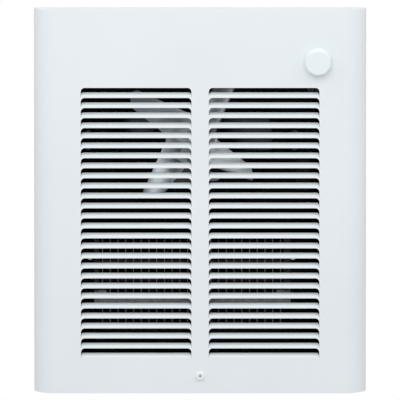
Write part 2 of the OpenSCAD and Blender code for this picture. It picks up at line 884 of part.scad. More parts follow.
// ---- Heating bank ----

function run_z(i) = run_top_z - i * run_pitch;
function ear_screw_x(side) = side < 0 ? frame_left - frame_ear / 2 - 1 : frame_right + frame_ear / 2 + 1;

// Half a turn of tube that joins run i to the run below it, on the right (side = 1) or the left
module return_bend(i, side) {
    x = side > 0 ? frame_right + tube_tail : frame_left - tube_tail;
    translate([x, fin_mid_y, run_z(i) - run_pitch / 2]) rotate([90, 0, 0]) rotate(side > 0 ? -90 : 90)
        rotate_extrude(angle = 180) translate([run_pitch / 2, 0]) circle(tube_r);
}

// Sheathed heating tube: four runs through the fins, joined by return bends
module element_tube() {
    left = frame_left - tube_tail;
    right = frame_right + tube_tail;
    color("dimgray") {
        for (i = [0:run_count - 1]) rod_x(left, fin_mid_y, run_z(i), tube_r, right - left);
        return_bend(0, 1);
        return_bend(1, -1);
        return_bend(2, 1);
    }
}

module fin_outline() {
    difference() {
        translate([fin_mid_y, fin_mid_z]) round_rect(fin_d, fin_h, fin_corner_r);
        for (i = [0:run_count - 1]) translate([fin_mid_y, run_z(i)]) circle(tube_r + fit_gap);
    }
}

module element_fins() {
    color("gainsboro") for (i = [0:fin_count - 1])
        bar(bank_x - bank_w / 2 + i * fin_pitch - fin_t / 2, fin_t) fin_outline();
}

// The frame's front lip: a bright bar whose ends turn up with round corners
module frame_lip() {
    w = frame_right - frame_left;
    r = frame_lip_r;
    translate([(frame_left + frame_right) / 2, frame_bottom]) difference() {
        translate([0, frame_lip_rise / 2 + r / 2]) round_rect(w, frame_lip_rise + r, r / 2);
        translate([0, frame_lip_h + frame_lip_rise]) round_rect(w - 2 * frame_lip_arm, 2 * frame_lip_rise, r);
        translate([-w, frame_lip_rise]) square([2 * w, frame_lip_rise]);
    }
}

// Bright folded frame: tray with a front lip, two end plates with ears, and tabs for the two disc switches
module element_frame() {
    ear_h = fin_h - ear_in;
    ear_z = fin_bottom + ear_in;
    color("silver") difference() {
        union() {
            translate([frame_left, frame_front_y, frame_bottom])
                cube([frame_right - frame_left, frame_back_y - frame_front_y, frame_t]);
            plate(frame_front_y, frame_t) frame_lip();
            for (x = [frame_left, frame_right - frame_t]) {
                translate([x, frame_front_y, frame_bottom])
                    cube([frame_t, frame_back_y - frame_front_y, fin_top - frame_bottom]);
                translate([x, deck_back, ear_z]) cube([frame_t, frame_front_y - deck_back, ear_h]);
                translate([x, fin_mid_y - cutout_tab_w / 2, fin_top])
                    cube([frame_t, cutout_tab_w, cutout_tab_h]);
            }
            for (x = [frame_left - frame_ear, frame_right])
                translate([x, deck_back, ear_z]) cube([frame_ear, frame_t, ear_h]);
        }
        for (i = [0:run_count - 1])
            rod_x(frame_left - cut, fin_mid_y, run_z(i), tube_r + fit_gap,
                frame_right - frame_left + 2 * cut);
        for (x = [ear_screw_x(-1), ear_screw_x(1)], up = frame_ear_screws)
            rod_y(x, 0, fin_bottom + up * fin_h, element_screw_r + fit_gap, fin_y);
    }
}

module element_screws() {
    color("silver") for (x = [ear_screw_x(-1), ear_screw_x(1)], up = frame_ear_screws)
        pan_screw(x, deck_y, fin_bottom + up * fin_h,
            element_screw_head_r, element_screw_head_h, element_screw_r, element_screw_l);
}

// Ceramic beads on the tube's two ends
module element_insulators() {
    x = frame_left - tube_tail - insulator_l;
    color("ivory") for (i = [0, run_count - 1]) difference() {
        rod_x(x, fin_mid_y, run_z(i), insulator_r, insulator_l);
        rod_x(x - cut, fin_mid_y, run_z(i), terminal_r + fit_gap, insulator_l + 2 * cut);
    }
}

// Terminal pins, each with a flat push-on tab
module element_terminals() {
    x = frame_left - tube_tail - insulator_l;
    color("silver") for (i = [0, run_count - 1]) {
        rod_x(x - terminal_out, fin_mid_y, run_z(i), terminal_r, insulator_l + terminal_out);
        translate([x - terminal_out / 2 - tab_blade_l, fin_mid_y, run_z(i)])
            translate([0, -tab_blade_w / 2, -tab_blade_t / 2]) cube([tab_blade_l, tab_blade_w, tab_blade_t]);
    }
}

// Bimetal disc switch on a frame's tab, its body running along X from x in the direction way
module disc_switch(x, way) {
    z = fin_top + cutout_tab_h - cutout_down;
    translate([x, fin_mid_y, z]) rotate([0, way * 90, 0]) {
        cylinder(h = frame_t, r = cutout_flange_r);
        cylinder(h = cutout_l, r = cutout_r);
        cylinder(h = cutout_l + 2 * frame_t, r = cutout_cap_r);
        for (side = [-1, 1]) translate([side * cutout_tab_x - tab_blade_t / 2, -tab_blade_w / 2, cutout_l])
            cube([tab_blade_t, tab_blade_w, tab_blade_l]);
    }
}

module thermal_cutout() {
    color("black") disc_switch(frame_right, 1);
}

module fan_delay_switch() {
    color("black") disc_switch(frame_left, -1);
}

// ---- Thermostat ----

// Folded bracket that stands on the deck and carries the thermostat
module thermostat_bracket() {
    foot_y = deck_y - stat_plate_t / 2;
    face_y = stat_plate_y + stat_plate_t / 2;
    color("silver") difference() {
        translate([knob_x, 0, knob_z - stat_h / 2]) linear_extrude(stat_h) folded([
            [-stat_leg_x - stat_foot, foot_y], [-stat_leg_x, foot_y], [-stat_leg_x, face_y],
            [stat_leg_x, face_y], [stat_leg_x, foot_y], [stat_leg_x + stat_foot, foot_y]], stat_plate_t);
        rod_y(knob_x, stat_plate_y - cut, knob_z, bushing_r + fit_gap, stat_plate_t + 2 * cut);
    }
}

module thermostat_body() {
    color("saddlebrown") difference() {
        translate([knob_x, 0, knob_z]) plate(stat_body_y, stat_d) round_rect(stat_w, stat_h, 2);
        rod_y(knob_x, stat_body_y - cut, knob_z, stat_shaft_d / 2 + run_gap, stat_shaft_deep + 1 + cut);
    }
}

// Brass bushing that clamps the body to the bracket and guides the shaft
module thermostat_bushing() {
    color("goldenrod") difference() {
        rod_y(knob_x, stat_body_y - bushing_l, knob_z, bushing_r, bushing_l);
        rod_y(knob_x, stat_body_y - bushing_l - cut, knob_z, stat_shaft_d / 2 + run_gap, bushing_l + 2 * cut);
    }
}

module thermostat_nut() {
    color("silver") difference() {
        translate([knob_x, stat_plate_y - nut_t, knob_z]) rotate([-90, 0, 0])
            cylinder(h = nut_t, r = nut_r, $fn = 6);
        rod_y(knob_x, stat_plate_y - nut_t - cut, knob_z, bushing_r + fit_gap, nut_t + 2 * cut);
    }
}

module thermostat_terminals() {
    color("silver") for (x = stat_tab_x)
        translate([knob_x + x - tab_blade_w / 2, stat_tab_y, knob_z - stat_h / 2 - stat_tab_l]) difference() {
            cube([tab_blade_w, tab_blade_t, stat_tab_l]);
            rod_y(tab_blade_w / 2, -cut, tab_blade_w / 2, 1, tab_blade_t + 2 * cut);
        }
}

module thermostat_shaft() {
    flat = stat_shaft_d / 4;
    color("silver") difference() {
        rod_y(knob_x, stat_shaft_front_y, knob_z, stat_shaft_d / 2,
            stat_body_y + stat_shaft_deep - stat_shaft_front_y);
        translate([knob_x - stat_shaft_d, stat_shaft_front_y - cut, knob_z + flat])
            cube([2 * stat_shaft_d, knob_h, stat_shaft_d]);
    }
}

// Plain turned knob with a low skirt and a D-shaped socket
module thermostat_knob() {
    skirt_r = knob_d / 2;
    face_r = knob_face_d / 2;
    flat = stat_shaft_d / 4 + fit_gap;
    socket_r = stat_shaft_d / 2 + fit_gap;
    socket_l = knob_back_y - stat_shaft_front_y + seat_gap;
    color("whitesmoke") translate([knob_x, knob_back_y, knob_z]) rotate([90, 0, 0]) difference() {
        rotate_extrude() polygon(concat(
            [[0, 0], [skirt_r, 0], [skirt_r, knob_skirt_h - knob_edge_r / 2],
                [skirt_r - knob_edge_r / 2, knob_skirt_h]],
            arc(face_r - knob_edge_r, knob_h - knob_edge_r, knob_edge_r, 10, 90), [[0, knob_h]]));
        translate([0, 0, -cut]) intersection() {
            cylinder(h = socket_l + cut, r = socket_r);
            translate([-skirt_r, flat - knob_d, 0]) cube([knob_d, knob_d, knob_h]);
        }
    }
}

// ---- Disconnect switch ----

module disconnect_switch() {
    color("black") translate([switch_x, 0, switch_z]) difference() {
        union() {
            plate(deck_y - bezel_t, bezel_t) round_rect(bezel_w, bezel_h, 2);
            translate([-switch_w / 2, deck_y, -switch_h / 2]) cube([switch_w, switch_d, switch_h]);
            for (up = [-1, 0, 1])
                translate([-tab_blade_w / 2, deck_y + switch_d, up * switch_h / 3 - tab_blade_t / 2])
                    cube([tab_blade_w, tab_blade_l, tab_blade_t]);
        }
        rod_x(-rocker_w / 2, rocker_y, 0, rocker_r + rocker_gap, rocker_w);
        rod_x(-rocker_pin_l / 2 - seat_gap / 2, rocker_y, 0, rocker_pin_r + run_gap, rocker_pin_l + seat_gap);
    }
}

// Rocker with a dished face of two planes, pressed in at the top
module switch_rocker() {
    w = rocker_w - 2 * rocker_gap;
    color("black") translate([switch_x, rocker_y, switch_z]) {
        intersection() {
            rod_x(-w / 2, 0, 0, rocker_r, w);
            rotate([-rocker_tilt, 0, 0]) bar(-w, 2 * w) polygon([
                [-rocker_face, 0], [-rocker_face - rocker_r * sin(rocker_tilt), rocker_r],
                [rocker_r, rocker_r], [rocker_r, -rocker_r],
                [-rocker_face - rocker_r * sin(rocker_tilt), -rocker_r]]);
        }
        rod_x(-rocker_pin_l / 2, 0, 0, rocker_pin_r, rocker_pin_l);
    }
}

front_cover();
cover_hooks();
cover_screw();
cover_screw_bracket();
wall_box_back();
wall_box_sides();
wall_box_ends();
deck_tabs();
ground_screw();
fan_deck();
fan_ring();
deck_screws();
air_divider();
lower_deflector();
fan_blade();
fan_hub();
hub_set_screw();
motor_shaft();
motor_rotor();
motor_laminations();
shading_rings();
motor_coil();
coil_bobbin();
motor_front_bracket();
motor_rear_bracket();
motor_bearings();
motor_tie_screws();
motor_mount();
motor_mount_screws();
element_tube();
element_fins();
element_frame();
element_insulators();
element_terminals();
element_screws();
thermal_cutout();
fan_delay_switch();
thermostat_body();
thermostat_bushing();
thermostat_nut();
thermostat_bracket();
thermostat_terminals();
thermostat_shaft();
thermostat_knob();
disconnect_switch();
switch_rocker();
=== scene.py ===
import json
import math

import bpy
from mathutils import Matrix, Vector


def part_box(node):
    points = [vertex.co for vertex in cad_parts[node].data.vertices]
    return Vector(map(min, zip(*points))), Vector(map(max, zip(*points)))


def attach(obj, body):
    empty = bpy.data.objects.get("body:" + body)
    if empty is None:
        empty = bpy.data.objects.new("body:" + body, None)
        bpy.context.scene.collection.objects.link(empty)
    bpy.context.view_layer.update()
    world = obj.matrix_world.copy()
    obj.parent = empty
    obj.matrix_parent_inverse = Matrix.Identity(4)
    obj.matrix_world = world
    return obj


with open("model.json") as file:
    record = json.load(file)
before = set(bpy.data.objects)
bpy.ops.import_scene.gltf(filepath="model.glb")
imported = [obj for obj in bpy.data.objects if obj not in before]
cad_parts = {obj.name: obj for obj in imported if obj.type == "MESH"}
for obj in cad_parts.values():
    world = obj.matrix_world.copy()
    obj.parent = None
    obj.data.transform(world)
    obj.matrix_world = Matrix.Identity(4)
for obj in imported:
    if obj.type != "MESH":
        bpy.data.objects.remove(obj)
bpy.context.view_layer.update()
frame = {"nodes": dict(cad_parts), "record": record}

scene = bpy.context.scene
nodes = frame["nodes"]
scene.view_settings.view_transform = "Standard"

# ---------------------------------------------------------------- camera
PHOTO_PX = 400
MM_PER_PX = 1.0898
CAM_DISTANCE = 20.0
CAM_DOWN = math.radians(9.0)
AIM = Vector((-0.0001, -0.013, 0.0005))

cam_data = bpy.data.cameras.new("camera")
cam_data.sensor_width = 36.0
cam_data.lens = 36.0 * CAM_DISTANCE * 1000 / MM_PER_PX / PHOTO_PX
cam_data.clip_end = 200.0
cam = bpy.data.objects.new("camera", cam_data)
scene.collection.objects.link(cam)
cam.location = AIM + CAM_DISTANCE * Vector((0, -math.cos(CAM_DOWN), math.sin(CAM_DOWN)))
cam.rotation_euler = (math.pi / 2 - CAM_DOWN, 0, 0)
scene.camera = cam


# ---------------------------------------------------------------- material kit
def feed(tree, value, socket):
    """Gives a socket of a node tree a link, a number or a colour."""
    if isinstance(value, bpy.types.NodeSocket):
        tree.links.new(value, socket)
    elif isinstance(value, (int, float)):
        socket.default_value = value
    else:
        socket.default_value = (*value, 1)


class Mat:
    """A node material: a Principled shader with procedural colour, roughness and relief."""

    def __init__(self, name, metallic=0.0, **sockets):
        self.mat = bpy.data.materials.new(name)
        self.mat.use_nodes = True
        self.tree = self.mat.node_tree
        self.tree.nodes.clear()
        out = self.tree.nodes.new("ShaderNodeOutputMaterial")
        self.bsdf = self.tree.nodes.new("ShaderNodeBsdfPrincipled")
        self.link(self.bsdf.outputs[0], out.inputs["Surface"])
        self.bsdf.inputs["Metallic"].default_value = metallic
        for key, value in sockets.items():
            self.bsdf.inputs[key.replace("_", " ")].default_value = value
        self.height = None

    def link(self, a, b):
        self.tree.links.new(a, b)

    def node(self, kind, **values):
        n = self.tree.nodes.new(kind)
        for key, value in values.items():
            setattr(n, key, value)
        return n

    def place(self, output="Object"):
        """The object's own coordinates, or with "Normal" which way its face looks."""
        return self.node("ShaderNodeTexCoord").outputs[output]

    def coords(self, scale=(1, 1, 1), shift=(0, 0, 0)):
        """Object coordinates, scaled and shifted."""
        mp = self.node("ShaderNodeMapping")
        mp.inputs["Scale"].default_value = scale
        mp.inputs["Location"].default_value = shift
        self.link(self.place(), mp.inputs["Vector"])
        return mp.outputs[0]

    def noise(self, scale, detail=3.0, stretch=(1, 1, 1), rough=0.5):
        n = self.node("ShaderNodeTexNoise")
        n.inputs["Scale"].default_value = scale
        n.inputs["Detail"].default_value = detail
        n.inputs["Roughness"].default_value = rough
        self.link(self.coords(stretch), n.inputs["Vector"])
        return n.outputs["Fac"]

    def cells(self, scale, feature="F1", output="Color"):
        n = self.node("ShaderNodeTexVoronoi", feature=feature)
        n.inputs["Scale"].default_value = scale
        self.link(self.coords(), n.inputs["Vector"])
        return n.outputs[output]

    def grey_cells(self, scale):
        """Cells with a random grey each."""
        n = self.node("ShaderNodeRGBToBW")
        self.link(self.cells(scale), n.inputs[0])
        return n.outputs[0]

    def bands(self, scale, axis, distortion):
        """Straight waves along an axis."""
        n = self.node("ShaderNodeTexWave", wave_type="BANDS", bands_direction=axis)
        n.inputs["Scale"].default_value = scale
        n.inputs["Distortion"].default_value = distortion
        self.link(self.coords(), n.inputs["Vector"])
        return n.outputs["Fac"]

    def rings(self, scale, axis, centre):
        """Round waves about an axis through a centre."""
        n = self.node("ShaderNodeTexWave", wave_type="RINGS", rings_direction=axis)
        n.inputs["Scale"].default_value = scale
        self.link(self.coords(shift=[-c for c in centre]), n.inputs["Vector"])
        return n.outputs["Fac"]

    def remap(self, fac, low, high, start=0.3, end=0.7):
        n = self.node("ShaderNodeMapRange")
        n.inputs["From Min"].default_value = start
        n.inputs["From Max"].default_value = end
        n.inputs["To Min"].default_value = low
        n.inputs["To Max"].default_value = high
        self.link(fac, n.inputs["Value"])
        return n.outputs[0]

    def ramp(self, fac, stops):
        n = self.node("ShaderNodeValToRGB")
        els = n.color_ramp.elements
        els[0].position, els[0].color = stops[0][0], (*stops[0][1], 1)
        els[1].position, els[1].color = stops[-1][0], (*stops[-1][1], 1)
        for pos, col in stops[1:-1]:
            els.new(pos).color = (*col, 1)
        self.link(fac, n.inputs["Fac"])
        return n.outputs["Color"]

    def mix(self, fac, a, b, blend="MIX"):
        n = self.node("ShaderNodeMix", data_type="RGBA", blend_type=blend)
        for value, index in ((fac, 0), (a, 6), (b, 7)):    # the factor and the two colours of an RGBA mix
            feed(self.tree, value, n.inputs[index])
        return n.outputs[2]

    def math(self, kind, a, b=0.0):
        n = self.node("ShaderNodeMath", operation=kind)
        feed(self.tree, a, n.inputs[0])
        feed(self.tree, b, n.inputs[1])
        return n.outputs[0]

    def along(self, axis):
        """The place along one axis of the object, in metres."""
        n = self.node("ShaderNodeSeparateXYZ")
        self.link(self.place(), n.inputs[0])
        return n.outputs[axis]

    def reach(self, centre):
        """The distance from a point of the object, in metres."""
        n = self.node("ShaderNodeVectorMath", operation="DISTANCE")
        self.link(self.place(), n.inputs[0])
        n.inputs[1].default_value = centre
        return n.outputs["Value"]

    def inner(self, centre):
        """1 on the faces that look towards a point inside the object, 0 on those that look out."""
        way = self.node("ShaderNodeVectorMath", operation="SUBTRACT")
        self.link(self.place(), way.inputs[0])
        way.inputs[1].default_value = centre
        dot = self.node("ShaderNodeVectorMath", operation="DOT_PRODUCT")
        self.link(way.outputs[0], dot.inputs[0])
        self.link(self.place("Normal"), dot.inputs[1])
        return self.math("LESS_THAN", dot.outputs["Value"], 0.0)

    def colour(self, socket):
        self.link(socket, self.bsdf.inputs["Base Color"])

    def roughness(self, socket):
        self.link(socket, self.bsdf.inputs["Roughness"])

    def relief(self, socket, depth):
        """Adds a height map: depth in metres from the lowest to the highest."""
        n = self.node("ShaderNodeBump")
        n.inputs["Strength"].default_value = 1.0
        n.inputs["Distance"].default_value = depth
        self.link(socket, n.inputs["Height"])
        if self.height is not None:
            self.link(self.height, n.inputs["Normal"])
        self.height = n.outputs[0]
        self.link(self.height, self.bsdf.inputs["Normal"])


def shade(base, k):
    return tuple(min(1.0, c * k) for c in base)


def tones(m, fac, base, low, high):
    """A base colour that varies from one shade to another along a texture."""
    return m.ramp(fac, [(0.3, shade(base, low)), (0.7, shade(base, high))])


# ---------------------------------------------------------------- materials
# nearly black: painted shade on the cover's inner faces
PAINTED_SHADE_INSIDE = (0.02, 0.02, 0.021)
BOX_SHADE = (0.008, 0.008, 0.009)
# painted highlight on the fan's wings
PAINTED_HIGHLIGHT = (0.90, 0.96, 1.0)
SPANGLE = 95                # cells of zinc spangle to a metre
SHEET_WAVES = 1000          # wave textures: one wave is pi / 10 m over this scale, here 0.3 mm
TAPE_WAVES = 62.5           # 5 mm
TURNED_WAVES = 265.25824    # 1.2 mm
FAN_X, FAN_Y, FAN_Z = HUB = (-0.0094, 0.010, 0.0645)
MOUNT_Y = 0.038


def powder_coat(name, base, rough, peel=0.00004, gloss=0.5, inside=None, mouth=None):
    """Powder paint with a fine orange peel. Faces that look towards the centre "inside" are painted nearly
    black within the mouth, which is given by its half width and half height: painted shade inside the cover."""
    m = Mat(name, Specular_IOR_Level=gloss)
    col = tones(m, m.noise(9, 4), base, 0.985, 1.01)
    # painted shade: inner faces within the mouth turn nearly black
    if inside:
        dark = m.inner(inside)
        for axis, half in zip("XZ", mouth):
            within = m.math("LESS_THAN", m.math("ABSOLUTE", m.along(axis)), half)
            dark = m.math("MULTIPLY", dark, within)
        col = m.mix(dark, col, tones(m, m.noise(40, 4), PAINTED_SHADE_INSIDE, 0.7, 1.5))
    m.colour(col)
    m.roughness(m.remap(m.noise(60, 3), rough - 0.04, rough + 0.05))
    m.relief(m.noise(520, 2), peel)
    m.relief(m.noise(14, 2), peel * 2)
    return m


def screw_paint(name, base, centre, recess_r):
    """The cover's paint on a screw head, with painted shade in its cross recess."""
    m = Mat(name, Specular_IOR_Level=0.5)
    # painted shade: darker towards the middle of the cross recess
    depth = m.remap(m.reach(centre), 1.0, 0.0, recess_r * 0.6, recess_r)
    m.colour(m.mix(depth, tones(m, m.noise(300, 3), base, 0.97, 1.03), shade(base, 0.45)))
    m.roughness(m.remap(m.noise(400, 2), 0.3, 0.42))
    m.relief(m.noise(900, 2), 0.00001)
    return m


def moulded(name, base, rough, speck, grain=0.00003, gloss=0.5):
    """Moulded plastic or phenolic: fine specks under a fine grain."""
    m = Mat(name, Specular_IOR_Level=gloss)
    m.colour(tones(m, m.noise(420, 4, rough=0.7), base, 1 - speck, 1 + speck))
    m.roughness(m.remap(m.noise(90, 3), rough - 0.06, rough + 0.07))
    m.relief(m.noise(1500, 2), grain)
    return m


def spangled_zinc(name, base, inside=None):
    """Galvanised sheet. Faces that look towards the centre "inside", if it is given, are nearly black."""
    m = Mat(name, metallic=1.0)
    wide = m.noise(16, 4)
    both = m.math("ADD", m.math("MULTIPLY", m.grey_cells(SPANGLE), 0.55), m.math("MULTIPLY", wide, 0.45))
    col = m.ramp(both, [(0.25, shade(base, 0.84)), (0.5, base), (0.75, shade(base, 1.13))])
    if inside:
        col = m.mix(m.inner(inside), col, tones(m, wide, BOX_SHADE, 0.7, 1.3))
    m.colour(col)
    m.roughness(m.remap(both, 0.50, 0.34, 0.25, 0.75))
    m.relief(m.cells(SPANGLE, feature="DISTANCE_TO_EDGE", output="Distance"), 0.00002)
    m.relief(m.noise(700, 2), 0.00001)
    return m


def rolled_metal(name, base, rough, stretch, tarnish=0.05):
    """Mill finish: fine lines across the stretched axis, or an even grain where all three are stretched
    alike, over a soft wide mottle."""
    m = Mat(name, metallic=1.0)
    lines = m.noise(60, 5, stretch=stretch, rough=0.65)
    col = tones(m, lines, base, 0.94, 1.06)
    m.colour(m.mix(m.remap(m.noise(22, 3), 0.0, 1.0), col, shade(base, 1 - 2 * tarnish)))
    m.roughness(m.remap(lines, rough - 0.05, rough + 0.08))
    m.relief(lines, 0.000008)
    return m


def blade_with_painted_light(name, base, rough, shade_blots, shade_films, painted_highlights):
    """Mill aluminium with painted light: painted shade round each blot (centre, radius, strength), near black
    painted shade past each film's line, and painted highlights round each bright spot (centre, radius).

    A film of painted shade lies between two places along X and two along Z, where a share of X and a share of Z
    add up to more than its start. It is full a span further on."""
    m = Mat(name, metallic=1.0)
    lines = m.noise(60, 5, stretch=(1, 1, 20), rough=0.65)
    wide = m.noise(30, 4)
    x, z = m.along("X"), m.along("Z")
    col = tones(m, lines, base, 0.94, 1.06)
    # painted highlights: bright spots on the wings
    for centre, radius in painted_highlights:
        edge = m.math("ADD", m.reach(centre), m.remap(wide, -0.003, 0.003))
        col = m.mix(m.remap(edge, 1.0, 0.0, radius * 0.3, radius), col, PAINTED_HIGHLIGHT)
    # painted shade round each blot
    for centre, radius, strength in shade_blots:
        edge = m.math("ADD", m.reach(centre), m.remap(wide, -0.008, 0.008))
        col = m.mix(m.remap(edge, strength, 0.0, radius * 0.55, radius), col, shade(base, 0.16))
    # painted shade: near black past each film's line
    for shade_film in shade_films:
        past = m.math("ADD", m.math("MULTIPLY", x, shade_film["share"][0]), m.math("MULTIPLY", z, shade_film["share"][1]))
        cover = m.remap(past, 0.0, shade_film["strength"], shade_film["start"], shade_film["start"] + shade_film["span"])
        for place, (low, high) in ((x, shade_film["x"]), (z, shade_film["z"])):
            cover = m.math("MULTIPLY", cover, m.math("GREATER_THAN", place, low))
            cover = m.math("MULTIPLY", cover, m.math("LESS_THAN", place, high))
        col = m.mix(cover, col, shade(base, 0.008))
    m.colour(col)
    m.roughness(m.remap(lines, rough - 0.05, rough + 0.08))
    m.relief(lines, 0.000008)
    return m


def zinc_shaded_above(name, base, dark, above, span):
    """Zinc sheet with painted shade above a height."""
    m = Mat(name, metallic=1.0)
    fleck = m.grey_cells(SPANGLE)
    stain = m.remap(m.noise(260, 4, rough=0.7), 0.62, 1.3)
    bright = m.mix(1.0, tones(m, fleck, base, 0.86, 1.12), stain, "MULTIPLY")
    shaded = tones(m, m.noise(45, 4), shade(base, dark), 0.6, 1.5)
    # painted shade above the height
    m.colour(m.mix(m.remap(m.along("Z"), 0.0, 1.0, above, above + span), bright, shaded))
    m.roughness(m.remap(fleck, 0.36, 0.5, 0.25, 0.75))
    m.relief(m.noise(700, 2), 0.00001)
    return m


def strap_with_painted_shade(name, base, dark, ring_r, lit_from, lit_span, z_share, lit_spot, lit_spot_r):
    """Zinc strap under near black painted shade, which leaves it bare where it is lit inside the fan's ring: on
    the right, where X and a share of Z add up to more than a start, and in a spot on the left."""
    m = Mat(name, metallic=1.0)
    smear = m.noise(70, 4, stretch=(1, 1, 0.5))
    right = m.math("ADD", m.along("X"), m.math("MULTIPLY", m.along("Z"), z_share))
    lit = m.remap(right, 0.0, 1.0, lit_from, lit_from + lit_span)
    lit = m.math("MAXIMUM", lit, m.remap(m.reach(lit_spot), 1.0, 0.0, lit_spot_r * 0.45, lit_spot_r))
    lit = m.math("MULTIPLY", lit, m.math("LESS_THAN", m.reach(HUB), ring_r))
    # painted shade on the strap, bare zinc where it is lit
    m.colour(m.mix(lit, shade(base, dark), tones(m, smear, base, 0.8, 1.35)))
    m.roughness(m.remap(smear, 0.36, 0.5))
    m.relief(m.noise(700, 2), 0.00001)
    return m


def turned_metal(name, base, rough, centre):
    """Turned or ground finish: fine rings round an axis along Y."""
    m = Mat(name, metallic=1.0)
    rings = m.rings(TURNED_WAVES, "Y", centre)
    wide = m.noise(70, 3)
    m.colour(m.mix(m.remap(wide, 0.0, 1.0), tones(m, rings, base, 0.95, 1.05), shade(base, 0.86)))
    m.roughness(m.remap(wide, rough - 0.05, rough + 0.08))
    m.relief(rings, 0.000006)
    return m


def cast_metal(name, base, rough):
    """Die casting: a pitted skin over soft unevenness."""
    m = Mat(name, metallic=1.0)
    m.colour(tones(m, m.noise(130, 5, rough=0.7), base, 0.86, 1.1))
    m.roughness(m.remap(m.noise(240, 3), rough - 0.08, rough + 0.1))
    m.relief(m.noise(900, 3, rough=0.65), 0.00006)
    m.relief(m.noise(60, 2), 0.00008)
    return m


def stacked_steel(name, base):
    """Motor laminations: thin sheets seen on edge, with oil in between."""
    m = Mat(name, metallic=0.9)
    sheets = m.bands(SHEET_WAVES, "Y", 0.2)
    oil = m.noise(45, 4)
    col = m.ramp(sheets, [(0.1, shade(base, 0.45)), (0.5, base), (1.0, shade(base, 1.25))])
    m.colour(m.mix(m.remap(oil, 0.0, 0.7), col, shade(base, 0.55)))
    m.roughness(m.remap(oil, 0.5, 0.3))
    m.relief(sheets, 0.00005)
    return m


def wound_tape(name, base):
    """Varnished tape wound round a coil."""
    m = Mat(name, Coat_Weight=0.5, Coat_Roughness=0.25)
    turns = m.bands(TAPE_WAVES, "X", 0.4)
    stain = m.noise(55, 4)
    seam = m.remap(turns, 0.0, 0.5, 0.0, 0.25)
    m.colour(m.mix(seam, tones(m, stain, base, 0.7, 1.3), shade(base, 0.45)))
    m.roughness(m.remap(stain, 0.35, 0.6))
    m.relief(turns, 0.0003)
    m.relief(m.noise(900, 2, stretch=(1, 1, 6)), 0.00004)
    return m


def heat_darkened(name, base):
    """A heater's sheath: dark oxide with straw and blue tints."""
    m = Mat(name, metallic=0.85)
    r, g, b = base
    straw, blue = (r * 1.5, g * 1.1, b), (r, g * 1.1, b * 1.6)
    stain = m.noise(28, 5, rough=0.7)
    m.colour(m.ramp(stain, [(0.25, shade(base, 0.6)), (0.45, base), (0.6, straw), (0.75, blue)]))
    m.roughness(m.remap(m.noise(160, 3), 0.42, 0.62))
    m.relief(m.noise(800, 3), 0.00002)
    return m


def sintered(name, base):
    """Pressed bronze with open pores."""
    m = Mat(name, metallic=0.9)
    pores = m.cells(1600, output="Distance")
    pit = m.remap(pores, 1.0, 0.0, 0.0, 0.25)
    m.colour(m.mix(pit, tones(m, m.noise(150, 3), base, 0.85, 1.1), shade(base, 0.4)))
    m.roughness(m.remap(m.noise(300, 2), 0.45, 0.6))
    m.relief(m.remap(pores, 0.0, 1.0, 0.0, 0.25), 0.00004)
    return m


def bare_ceramic(name, base):
    """Unglazed ceramic."""
    m = Mat(name, Subsurface_Weight=0.05, Subsurface_Scale=0.001)
    m.colour(tones(m, m.noise(240, 4, rough=0.7), base, 0.9, 1.04))
    m.roughness(m.remap(m.noise(400, 2), 0.62, 0.8))
    m.relief(m.noise(1300, 3), 0.00003)
    return m


